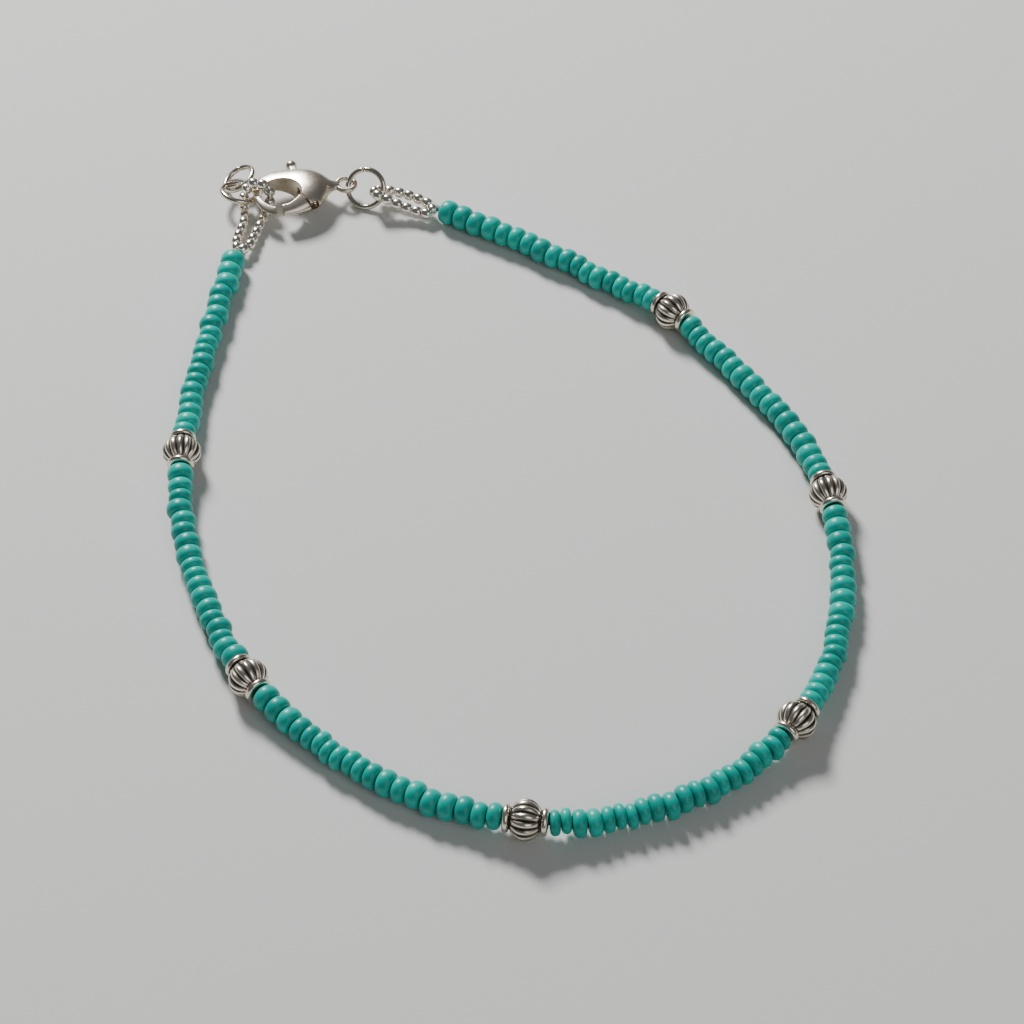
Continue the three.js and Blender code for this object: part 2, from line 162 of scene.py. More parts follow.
# Outlines in the clasp's plane: u and w.
GATE_OUTLINE = ((7.5, 2.18), (7.5, 3.7), (3.9, 3.7), (4.45, 2.9), (5.4, 1.45), (5.9, 1.85), (6.7, 2.2))
TONGUE_OUTLINE = ((4.3, 0.95), (5.2, 1.3), (6.0, 2.3), (5.5, 2.95), (4.75, 2.75), (4.0, 1.8))
THUMB_OUTLINE = ((4.2, 1.5), (4.72, -4.2), (5.38, -4.2), (4.93, 1.5))
SLOT_OUTLINE = (
    (2.2, -4.3),
    (5.72, -4.3),
    (5.24, 0.0),
    (5.6, 0.8),
    (6.2, 3.7),
    (3.7, 3.7),
    (3.55, 2.3),
    (3.55, 0.7),
    (2.2, -1.6),
)
# Each light's name, place in metres, power in watts and width in metres.
LIGHTS = (
    ("key_light", (-0.22, 0.5, 0.42), 8.0, 0.16),
    ("fill_light", (0.3, -0.5, 0.5), 1.2, 0.5),
)


class Body(Enum):
    """The rigid bodies that pieces ride on."""

    ANKLET = "anklet"
    LEVER = "lever"


def linear(hex_code: str) -> tuple[float, float, float, float]:
    """Turns an sRGB hex colour to the linear colour that shaders use.

    Args:
        hex_code: six hex digits, such as "12a594".

    Returns:
        Linear red, green and blue, and an alpha of 1.
    """
    levels = [int(hex_code[i : i + 2], 16) / 255 for i in (0, 2, 4)]
    red, green, blue = (v / 12.92 if v <= 0.04045 else ((v + 0.055) / 1.055) ** 2.4 for v in levels)
    return red, green, blue, 1.0


def add_node(
    tree: bpy.types.NodeTree,
    kind: str,
    links: dict | None = None,
    values: dict | None = None,
    **settings: object,
) -> bpy.types.Node:
    """Adds one node with its settings, socket values and incoming links.

    Args:
        tree: the tree that gets the node.
        kind: the node's type, such as "ShaderNodeTexNoise".
        links: input socket name or index to the output socket that feeds it.
        values: input socket name or index to its plain value.
        settings: properties of the node.

    Returns:
        The new node.
    """
    node = tree.nodes.new(kind)
    for name, value in settings.items():
        setattr(node, name, value)
    for name, value in (values or {}).items():
        node.inputs[name].default_value = value
    for name, socket in (links or {}).items():
        tree.links.new(socket, node.inputs[name])
    return node


def begin_material(name: str) -> tuple[bpy.types.Material, bpy.types.NodeTree, bpy.types.Node]:
    """Starts a material with one Principled shader.

    Args:
        name: the material's name.

    Returns:
        The material, its node tree and the shader node.
    """
    material = bpy.data.materials.new(name)
    material.use_nodes = True
    tree = material.node_tree
    return material, tree, tree.nodes["Principled BSDF"]


@dataclass(frozen=True)
class TurquoiseGlass:
    """Opaque pressed seed-bead glass: an even green turquoise under a soft waxy gloss."""

    light: str = "00bfae"
    deep: str = "00877d"
    roughness: float = 0.33
    ior: float = 1.42
    mottle_mm: float = 0.9
    mottle_detail: float = 3.0
    mottle_share: float = 0.5

    def build(self) -> bpy.types.Material:
        """Builds the material, whose shade varies a little from bead to bead."""
        material, tree, shader = begin_material("turquoise_seed_bead_glass")
        place = add_node(tree, "ShaderNodeTexCoord").outputs["Object"]
        tone = add_node(tree, "ShaderNodeAttribute", attribute_name="tone").outputs["Fac"]
        mottle = add_node(
            tree,
            "ShaderNodeTexNoise",
            links={"Vector": place},
            values={"Scale": 1 / (self.mottle_mm * MM), "Detail": self.mottle_detail},
        ).outputs["Fac"]
        amount = add_node(
            tree,
            "ShaderNodeMath",
            operation="MULTIPLY_ADD",
            links={0: mottle, 2: tone},
            values={1: self.mottle_share},
        ).outputs[0]
        colour = add_node(
            tree,
            "ShaderNodeMix",
            data_type="RGBA",
            links={0: amount},
            values={6: linear(self.deep), 7: linear(self.light)},
        ).outputs[2]
        tree.links.new(colour, shader.inputs["Base Color"])
        shader.inputs["Roughness"].default_value = self.roughness
        shader.inputs["IOR"].default_value = self.ior
        return material


@dataclass(frozen=True)
class WaxedThread:
    """Waxed nylon bead thread: a dull grey that shows as a short line where the string meets its loops."""

    colour: str = "7c7e7a"
    roughness: float = 0.6

    def build(self) -> bpy.types.Material:
        """Builds the plain material."""
        material, _, shader = begin_material("waxed_bead_thread")
        shader.inputs["Base Color"].default_value = linear(self.colour)
        shader.inputs["Roughness"].default_value = self.roughness
        return material


@dataclass(frozen=True)
class Silver:
    """Sterling silver: bright where handled, brown-black sulphide where a wearer's finger can't rub."""

    name: str
    bright: str = "eae0d0"
    tarnish: str = "1b1611"
    roughness: float = 0.22
    wear_low: float = 0.8
    wear_high: float = 1.25
    tarnish_share: float = 0.0
    tarnish_unevenness: float = 0.35
    tarnish_from: float = 0.3
    tarnish_full: float = 0.8
    tarnish_dullness: float = 0.3
    scratch_mm: float = 0.25
    scratch_detail: float = 2.0
    scratch_depth_mm: float = 0.004
    scratch_strength: float = 0.5

    def build(self) -> bpy.types.Material:
        """Builds the metal, darkened by the mesh's own "groove" attribute."""
        material, tree, shader = begin_material(self.name)
        place = add_node(tree, "ShaderNodeTexCoord").outputs["Object"]
        grain = add_node(
            tree,
            "ShaderNodeTexNoise",
            links={"Vector": place},
            values={"Scale": 1 / (self.scratch_mm * MM), "Detail": self.scratch_detail},
        ).outputs["Fac"]
        shader.inputs["Metallic"].default_value = 1.0
        if self.tarnish_share > 0:
            groove = add_node(tree, "ShaderNodeAttribute", attribute_name="groove").outputs["Fac"]
            uneven = add_node(
                tree,
                "ShaderNodeMath",
                operation="MULTIPLY_ADD",
                links={0: grain, 2: groove},
                values={1: self.tarnish_unevenness},
            ).outputs[0]
            dark = add_node(
                tree,
                "ShaderNodeMapRange",
                links={"Value": uneven},
                values={
                    "From Min": self.tarnish_from,
                    "From Max": self.tarnish_full,
                    "To Min": 0.0,
                    "To Max": self.tarnish_share,
                },
            ).outputs["Result"]
            colour = add_node(
                tree,
                "ShaderNodeMix",
                data_type="RGBA",
                links={0: dark},
                values={6: linear(self.bright), 7: linear(self.tarnish)},
            ).outputs[2]
            tree.links.new(colour, shader.inputs["Base Color"])
            dull = add_node(
                tree,
                "ShaderNodeMath",
                operation="MULTIPLY_ADD",
                links={0: dark},
                values={1: self.tarnish_dullness, 2: self.roughness},
            ).outputs[0]
            tree.links.new(dull, shader.inputs["Roughness"])
        else:
            shader.inputs["Base Color"].default_value = linear(self.bright)
            rough = add_node(
                tree,
                "ShaderNodeMapRange",
                links={"Value": grain},
                values={
                    "To Min": self.roughness * self.wear_low,
                    "To Max": self.roughness * self.wear_high,
                },
            ).outputs["Result"]
            tree.links.new(rough, shader.inputs["Roughness"])
        bump = add_node(
            tree,
            "ShaderNodeBump",
            links={"Height": grain},
            values={"Strength": self.scratch_strength, "Distance": self.scratch_depth_mm * MM},
        ).outputs["Normal"]
        tree.links.new(bump, shader.inputs["Normal"])
        return material


@dataclass
class Path:
    """A smooth curve through a few points, walked by the distance along it.

    Attributes:
        points: the points in millimetres, one row each.
        closed: whether the end joins the start.
    """

    points: np.ndarray
    closed: bool = False
    samples: np.ndarray = field(init=False)
    walked: np.ndarray = field(init=False)

    def __post_init__(self) -> None:
        """Samples the curve and adds up its length."""
        count = len(self.points)
        spans = count if self.closed else count - 1
        fine = CURVE_SAMPLES // spans + 1
        rows = []
        for span in range(spans):
            corners = [self.corner(span + k) for k in (-1, 0, 1, 2)]
            for step in range(fine):
                rows.append(self.blend(corners, step / fine))
        rows.append(self.corner(spans))
        self.samples = np.array(rows)
        steps = np.linalg.norm(np.diff(self.samples, axis=0), axis=1)
        self.walked = np.concatenate([[0.0], np.cumsum(steps)])

    def corner(self, index: int) -> np.ndarray:
        """Gives one of the points, wrapped on a closed curve and carried straight past an open end."""
        count = len(self.points)
        if self.closed:
            return self.points[index % count]
        if index < 0:
            return 2 * self.points[0] - self.points[1]
        if index >= count:
            return 2 * self.points[-1] - self.points[-2]
        return self.points[index]

    @staticmethod
    def blend(corners: list[np.ndarray], t: float) -> np.ndarray:
        """Gives the point at share t between the middle two of four corners."""
        a, b, c, d = corners
        cubic = (3 * (b - c) + d - a) * t**3
        square = (2 * a - 5 * b + 4 * c - d) * t**2
        return b + 0.5 * ((c - a) * t + square + cubic)

    @property
    def length(self) -> float:
        """The whole length in millimetres."""
        return float(self.walked[-1])

    def at(self, distance: np.ndarray | float) -> np.ndarray:
        """Gives the points at distances along the curve."""
        if self.closed:
            distance = np.mod(distance, self.length)
        columns = range(self.points.shape[1])
        placed = [np.interp(distance, self.walked, self.samples[:, k]) for k in columns]
        return np.stack(placed, axis=-1)

    def heading(self, distance: np.ndarray | float) -> np.ndarray:
        """Gives the unit directions at distances along the curve."""
        middle = np.asarray(distance)
        ahead = self.at(middle + HEADING_REACH) - self.at(middle - HEADING_REACH)
        return ahead / np.linalg.norm(ahead, axis=-1, keepdims=True)


def mesh_object(
    name: str, vertices: np.ndarray, faces: list, material: bpy.types.Material
) -> bpy.types.Object:
    """Makes a smooth-shaded object from vertices in metres.

    Args:
        name: the object's name.
        vertices: one row each.
        faces: tuples of vertex numbers.
        material: the finish.

    Returns:
        The linked object.
    """
    mesh = bpy.data.meshes.new(name)
    mesh.from_pydata([tuple(v) for v in vertices], [], faces)
    mesh.materials.append(material)
    mesh.shade_smooth()
    mesh.update()
    made = bpy.data.objects.new(name, mesh)
    bpy.context.scene.collection.objects.link(made)
    return made


def ring_skin(rings: np.ndarray, wrap: bool) -> tuple[np.ndarray, list]:
    """Joins rings of equally many points to a skin.

    Args:
        rings: array of rings, points and coordinates.
        wrap: whether the last ring joins the first.

    Returns:
        The vertices and the faces.
    """
    count, sides = rings.shape[:2]
    faces = []
    for r in range(count if wrap else count - 1):
        a = r * sides
        b = ((r + 1) % count) * sides
        for i in range(sides):
            j = (i + 1) % sides
            faces.append((a + i, a + j, b + j, b + i))
    return rings.reshape(-1, 3), faces


def capped_tube(name: str, rings: np.ndarray, material: bpy.types.Material) -> bpy.types.Object:
    """Makes a closed tube over rings of points, with a flat face at either end.

    Args:
        name: the object's name.
        rings: array of rings, points and coordinates.
        material: the finish.

    Returns:
        The linked object, all of its faces outward.
    """
    vertices, faces = ring_skin(rings, wrap=False)
    count, sides = rings.shape[:2]
    faces.append(tuple(range(sides - 1, -1, -1)))
    faces.append(tuple(range((count - 1) * sides, count * sides)))
    made = mesh_object(name, vertices, faces, material)
    face_outward(made)
    return made


def face_outward(piece: bpy.types.Object) -> None:
    """Turns every face of a closed piece outward."""
    shape = bmesh.new()
    shape.from_mesh(piece.data)
    bmesh.ops.remove_doubles(shape, verts=shape.verts, dist=WELD_DISTANCE)
    bmesh.ops.recalc_face_normals(shape, faces=shape.faces)
    shape.to_mesh(piece.data)
    shape.free()
    piece.data.update()


def make_plain(maker: bpy.types.Object, name: str) -> bpy.types.Object:
    """Turns the evaluated result of an object's modifiers into a plain object.

    Args:
        maker: the object with live modifiers, which is removed.
        name: the plain object's name.

    Returns:
        The plain object.
    """
    graph = bpy.context.evaluated_depsgraph_get()
    mesh = bpy.data.meshes.new_from_object(
        maker.evaluated_get(graph), preserve_all_data_layers=True, depsgraph=graph
    )
    mesh.name = name
    bpy.data.objects.remove(maker)
    made = bpy.data.objects.new(name, mesh)
    bpy.context.scene.collection.objects.link(made)
    return made


@dataclass
class Stringing:
    """Threads copies of one shape along a row of points with Geometry Nodes.

    Attributes:
        name: name of the finished piece.
        shape: object whose +X runs along the thread, which is used up.
        tilt_deg: most that a copy leans on the thread.
    """

    name: str
    shape: bpy.types.Object
    tilt_deg: float = 0.0

    def tree(self) -> bpy.types.NodeTree:
        """Builds the node tree that puts a leaned copy of the shape on each point."""
        tree = bpy.data.node_groups.new(f"{self.name}_stringing", "GeometryNodeTree")
        for name, kind in (
            ("Points", "NodeSocketGeometry"),
            ("Shape", "NodeSocketObject"),
            ("Tilt", "NodeSocketFloat"),
            ("Seed", "NodeSocketInt"),
            ("Finish", "NodeSocketMaterial"),
        ):
            tree.interface.new_socket(name, in_out="INPUT", socket_type=kind)
        tree.interface.new_socket("Beads", in_out="OUTPUT", socket_type="NodeSocketGeometry")
        given = add_node(tree, "NodeGroupInput").outputs
        shape = add_node(tree, "GeometryNodeObjectInfo", links={"Object": given["Shape"]}).outputs["Geometry"]
        heading = add_node(
            tree, "GeometryNodeInputNamedAttribute", data_type="FLOAT_VECTOR", values={"Name": "heading"}
        ).outputs["Attribute"]
        size = add_node(
            tree, "GeometryNodeInputNamedAttribute", data_type="FLOAT_VECTOR", values={"Name": "size"}
        ).outputs["Attribute"]
        least = add_node(
            tree, "ShaderNodeMath", operation="MULTIPLY", links={0: given["Tilt"]}, values={1: -1.0}
        ).outputs[0]
        lean = add_node(
            tree,
            "FunctionNodeRandomValue",
            data_type="FLOAT_VECTOR",
            links={"Min": least, "Max": given["Tilt"], "Seed": given["Seed"]},
        ).outputs["Value"]
        facing = add_node(
            tree, "FunctionNodeAlignRotationToVector", axis="X", pivot_axis="Z", links={"Vector": heading}
        ).outputs["Rotation"]
        turned = add_node(
            tree,
            "FunctionNodeRotateRotation",
            rotation_space="LOCAL",
            links={"Rotation": facing, "Rotate By": lean},
        ).outputs["Rotation"]
        copies = add_node(
            tree,
            "GeometryNodeInstanceOnPoints",
            links={"Points": given["Points"], "Instance": shape, "Rotation": turned, "Scale": size},
        ).outputs["Instances"]
        real = add_node(tree, "GeometryNodeRealizeInstances", links={"Geometry": copies}).outputs["Geometry"]
        done = add_node(
            tree, "GeometryNodeSetMaterial", links={"Geometry": real, "Material": given["Finish"]}
        ).outputs["Geometry"]
        add_node(tree, "NodeGroupOutput", links={"Beads": done})
        return tree

    def thread(
        self,
        places: np.ndarray,
        headings: np.ndarray,
        sizes: np.ndarray,
        tones: np.ndarray,
        finish: bpy.types.Material,
    ) -> bpy.types.Object:
        """Puts a copy of the shape at each place.

        Args:
            places: middles of the copies in millimetres.
            headings: unit directions of the thread there.
            sizes: stretch of each copy along the thread and, twice, across it, in millimetres.
            tones: shade of each copy, from 0 to 1.
            finish: the copies' material.

        Returns:
            One plain object that holds all the copies.
        """
        mesh = bpy.data.meshes.new(f"{self.name}_places")
        mesh.from_pydata([tuple(p) for p in (places + SHIFT) * MM], [], [])
        for name, kind, values in (
            ("heading", "FLOAT_VECTOR", headings),
            ("size", "FLOAT_VECTOR", sizes * MM),
            ("tone", "FLOAT", tones),
        ):
            data = mesh.attributes.new(name, kind, "POINT").data
            entry = "vector" if kind == "FLOAT_VECTOR" else "value"
            data.foreach_set(entry, np.ravel(values).astype(np.float32))
        maker = bpy.data.objects.new(f"{self.name}_maker", mesh)
        bpy.context.scene.collection.objects.link(maker)
        modifier = maker.modifiers.new("stringing", "NODES")
        modifier.node_group = self.tree()
        items = modifier.node_group.interface.items_tree
        sockets = {item.name: item.identifier for item in items if item.in_out == "INPUT"}
        modifier[sockets["Shape"]] = self.shape
        modifier[sockets["Tilt"]] = math.radians(self.tilt_deg)
        modifier[sockets["Seed"]] = SEED
        modifier[sockets["Finish"]] = finish
        done = make_plain(maker, self.name)
        done.data.shade_smooth()
        bpy.data.objects.remove(self.shape)
        return done


@dataclass
class SeedBead:
    """One glass seed bead: a squat ring of glass, cut from a drawn tube and rounded by heat."""

    hole_share: float = 0.3
    sides: int = 40
    steps: int = 14
    belly: float = 0.62
    end_roundness: float = 0.9
    bore_at: float = 0.55
    bore_share: float = 0.98

    def build(self, name: str, finish: bpy.types.Material) -> bpy.types.Object:
        """Builds the bead with unit half length and unit radius, its thread hole along X."""
        rows = []
        for angle in np.linspace(-math.pi / 2, math.pi / 2, self.steps):
            along = math.copysign(abs(math.sin(angle)) ** self.end_roundness, angle)
            reach = self.hole_share + (1 - self.hole_share) * max(math.cos(angle), 0.0) ** self.belly
            rows.append((along, reach))
        bore = self.hole_share * self.bore_share
        rows.append((self.bore_at, bore))
        rows.append((-self.bore_at, bore))
        around = np.linspace(0, 2 * math.pi, self.sides, endpoint=False)
        rings = np.array([[(x, r * math.cos(a), r * math.sin(a)) for a in around] for x, r in rows])
        vertices, faces = ring_skin(rings[::-1], wrap=True)
        return mesh_object(name, vertices, faces, finish)


@dataclass
class TurquoiseString:
    """The thread and its 128 seed beads in seven runs between the silver beads."""

    finish: bpy.types.Material
    thread_finish: bpy.types.Material
    low: float = 1.33
    high: float = 1.93
    rise_flat: float = 1.2
    rise_reach: float = 3.4
    path_steps: int = 206
    silver_half_length: float = 2.05
    end_gap: float = 0.06
    radius_by_size: dict = field(default_factory=lambda: {"s": 1.19, "m": 1.24, "f": 1.3})
    width_by_size: dict = field(default_factory=lambda: {"s": 0.86, "m": 1.0, "f": 1.14})
    outward_by_side: dict = field(default_factory=lambda: {"i": -0.14, "c": 0.0, "o": 0.14})
    bead_fill: float = 0.985
    tilt_deg: float = 4.0
    palest: float = 0.6
    deepest: float = 0.1
    thread_radius: float = 0.34
    thread_sides: int = 12
    thread_steps: int = 700
    thread_tail: float = 0.75
    thread_inset: float = 0.1

    def path(self) -> Path:
        """Gives the strand's middle line, low on the table and lifted where a silver bead holds it."""
        flat = Path(np.array([(x, y, 0.0) for x, y in ROUTE]))
        distance = np.linspace(0, flat.length, self.path_steps)
        points = flat.at(distance)
        away = np.min(np.abs(distance[:, None] - np.array(SILVER_AT)), axis=1)
        lift = np.exp(-((np.maximum(away - self.rise_flat, 0) / self.rise_reach) ** 2))
        points[:, 2] = self.low + (self.high - self.low) * lift
        return Path(points)

    def rows(self, path: Path) -> list[tuple[float, float, float, float]]:
        """Gives each bead's distance along the path, half length, radius and shift out of the loop."""
        rows = []
        start = 0.0
        for index, (run, sides) in enumerate(RUNS):
            last = index == len(SILVER_AT)
            end = path.length if last else SILVER_AT[index] - self.silver_half_length - self.end_gap
            widths = [self.width_by_size[size] for size in run]
            unit = (end - start) / sum(widths)
            edge = start
            for size, side, width in zip(run, sides, widths):
                half = width * unit / 2
                rows.append((edge + half, half, self.radius_by_size[size], self.outward_by_side[side]))
                edge += 2 * half
            start = end + 2 * (self.silver_half_length + self.end_gap)
        return rows

    def build(self) -> bpy.types.Object:
        """Builds the beads as one piece."""
        path = self.path()
        rows = np.array(self.rows(path))
        headings = path.heading(rows[:, 0])
        outward = np.cross(headings, UP)
        outward /= np.linalg.norm(outward, axis=1, keepdims=True)
        places = path.at(rows[:, 0]) + outward * rows[:, 3:]
        rng = np.random.default_rng(SEED)
        sizes = np.stack([rows[:, 1] * self.bead_fill, rows[:, 2], rows[:, 2]], axis=1)
        tones = rng.uniform(self.deepest, self.palest, len(rows))
        shape = SeedBead().build("seed_bead", self.finish)
        stringing = Stringing("seed_beads", shape, tilt_deg=self.tilt_deg)
        return stringing.thread(places, headings, sizes, tones, self.finish)

    def build_thread(self) -> bpy.types.Object:
        """Builds the thread through every bead, carried straight on by a short tail at either end."""
        path = self.path()
        distance = np.linspace(-self.thread_tail, path.length + self.thread_tail, self.thread_steps)
        walked = np.clip(distance, self.thread_inset, path.length - self.thread_inset)
        forward = path.heading(walked)
        side = np.cross(UP, forward)
        side /= np.linalg.norm(side, axis=1, keepdims=True)
        above = np.cross(forward, side)
        around = np.linspace(0, 2 * math.pi, self.thread_sides, endpoint=False)[None, :, None]
        swing = np.cos(around) * side[:, None] + np.sin(around) * above[:, None]
        middle = path.at(walked) + forward * (distance - walked)[:, None]
        rings = middle[:, None] + self.thread_radius * swing
        return capped_tube("strand_thread", (rings + SHIFT) * MM, self.thread_finish)

    def dress(self) -> None:
        """Builds the string and lets it stand for the plain strand."""
        for piece in (self.build(), self.build_thread()):
            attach(piece, Body.ANKLET.value)
            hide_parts("turquoise_strand")
            LOG.info("%s: %d polygons", piece.name, len(piece.data.polygons))


@dataclass
class FlutedBead:
    """One cast silver bead: a fluted ball between two plain collars."""

    radius: float = 1.92
    half_length: float = 2.05
    flutes: int = 14
    flute_depth: float = 0.22
    flute_narrowing: float = 1.25
    flute_fade: float = 0.6
    flute_end: float = 1.2
    ridge_width: float = 0.9
    neck_tarnish_at: float = 1.43
    neck_tarnish_reach: float = 0.12
    collar_radius: float = 1.32
    neck_radius: float = 0.98
    neck_at: float = 1.38
    hole_radius: float = 0.62
    sides_each: int = 12
    ball_steps: int = 26

    def profile(self) -> list[tuple[float, float, float]]:
        """Gives place along the thread, radius and flute share, from the middle to one end."""
        rows = []
        end = math.acos(self.neck_radius / self.radius)
        for angle in np.linspace(0, end, self.ball_steps // 2):
            x = self.neck_at * math.sin(angle) / math.sin(end)
            fluted = angle < self.flute_end
            share = math.cos(angle * self.flute_narrowing) ** self.flute_fade if fluted else 0.0
            rows.append((x, self.radius * math.cos(angle), share))
        rows += [
            (1.44, self.neck_radius, 0.0),
            (1.47, 1.12, 0.0),
            (1.53, 1.25, 0.0),
            (1.62, self.collar_radius, 0.0),
            (1.82, self.collar_radius, 0.0),
            (1.94, 1.26, 0.0),
            (2.02, 1.14, 0.0),
            (self.half_length, 1.0, 0.0),
            (self.half_length, 0.72, 0.0),
            (2.0, self.hole_radius, 0.0),
            (0.6, self.hole_radius, 0.0),
        ]
        return rows

    def build(self, name: str, finish: bpy.types.Material) -> bpy.types.Object:
        """Builds the bead in millimetres with its thread hole along X and its tarnish marked."""
        half = self.profile()
        rows = [(-x, r, f) for x, r, f in reversed(half)] + half[1:]
        sides = self.flutes * self.sides_each
        around = np.linspace(0, 2 * math.pi, sides, endpoint=False)
        wave = np.abs(np.sin(around * self.flutes / 2)) ** self.ridge_width
        rings = []
        grooves = []
        for x, r, share in rows:
            reach = r - self.flute_depth * share * (1 - wave)
            columns = [np.full(sides, x), reach * np.cos(around), reach * np.sin(around)]
            rings.append(np.stack(columns, axis=1))
            neck = max(0.0, 1 - abs(abs(x) - self.neck_tarnish_at) / self.neck_tarnish_reach)
            grooves.append(np.maximum(share * (1 - wave) ** self.ridge_width, neck))
        vertices, faces = ring_skin(np.array(rings)[::-1], wrap=True)
        made = mesh_object(name, vertices, faces, finish)
        groove = made.data.attributes.new("groove", "FLOAT", "POINT")
        groove.data.foreach_set("value", np.ravel(np.array(grooves)[::-1]).astype(np.float32))
        return made


@dataclass
class SilverBeads:
    """The six fluted silver beads on the string."""

    path: Path
    finish: bpy.types.Material

    def dress(self) -> None:
        """Builds the beads and lets them stand for the plain ones."""
        distance = np.array(SILVER_AT)
        headings = self.path.heading(distance)
        headings[:, 2] = 0
        shape = FlutedBead().build("fluted_bead", self.finish)
        count = len(distance)
        piece = Stringing("fluted_silver_beads", shape).thread(
            self.path.at(distance), headings, np.ones((count, 3)), np.zeros(count), self.finish
        )
        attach(piece, Body.ANKLET.value)
        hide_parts(*(f"silver_bead_{number}" for number in range(1, count + 1)))
        LOG.info("fluted beads: %d polygons", len(piece.data.polygons))


@dataclass
class SmallBeadLoop:
    """A closed loop of small silver beads at an end of the string."""

    node: str
    points: tuple
    count: int
    finish: bpy.types.Material
    radius: float = 0.57
    bead_fill: float = 0.98
    tilt_deg: float = 2.0
    hole_share: float = 0.35
    sides: int = 28
    belly: float = 0.85

    def dress(self) -> None:
        """Builds the loop and lets it stand for the plain one."""
        path = Path(np.array(self.points), closed=True)
        pitch = path.length / self.count
        distance = (np.arange(self.count) + 0.5) * pitch
        half = np.full(self.count, pitch / 2 * self.bead_fill)
        radius = np.full(self.count, self.radius)
        bead = SeedBead(hole_share=self.hole_share, sides=self.sides, belly=self.belly)
        shape = bead.build(f"{self.node}_bead", self.finish)
        piece = Stringing(f"{self.node}_beads", shape, tilt_deg=self.tilt_deg).thread(
            path.at(distance),
            path.heading(distance),
            np.stack([half, radius, radius], axis=1),
            np.zeros(self.count),
            self.finish,
        )
        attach(piece, Body.ANKLET.value)
        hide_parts(self.node)
        LOG.info("%s: %d polygons", self.node, len(piece.data.polygons))


@dataclass
class JumpRing:
    """A ring of round silver wire whose cut ends meet."""

    node: str
    centre: tuple[float, float, float]
    mean_radius: float
    lean: tuple[float, float, float]
    finish: bpy.types.Material
    wire_radius: float = 0.3
    cut_at_deg: float = 90.0
    cut_gap: float = 0.05
    cut_thinning: float = 0.86
    bends: int = 72
    sides: int = 20

    def dress(self) -> None:
        """Builds the ring, open by a hair at its cut, and lets it stand for the plain one."""
        turn = Vector((0, 0, 1)).rotation_difference(Vector(self.lean).normalized()).to_matrix()
        gap = self.cut_gap / self.mean_radius / 2
        start = math.radians(self.cut_at_deg)
        bends = np.linspace(start + gap, start + 2 * math.pi - gap, self.bends)
        around = np.linspace(0, 2 * math.pi, self.sides, endpoint=False)
        rings = []
        for number, bend in enumerate(bends):
            thin = self.cut_thinning if number in (0, len(bends) - 1) else 1.0
            reach = self.mean_radius + thin * self.wire_radius * np.cos(around)
            rise = thin * self.wire_radius * np.sin(around)
            rings.append(np.stack([reach * math.cos(bend), reach * math.sin(bend), rise], axis=1))
        placed = np.array(rings) @ np.array(turn).T + np.array(self.centre) + SHIFT
        piece = capped_tube(f"{self.node}_wire", placed * MM, self.finish)
        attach(piece, Body.ANKLET.value)
        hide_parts(self.node)
        LOG.info("%s: %d polygons", self.node, len(piece.data.polygons))


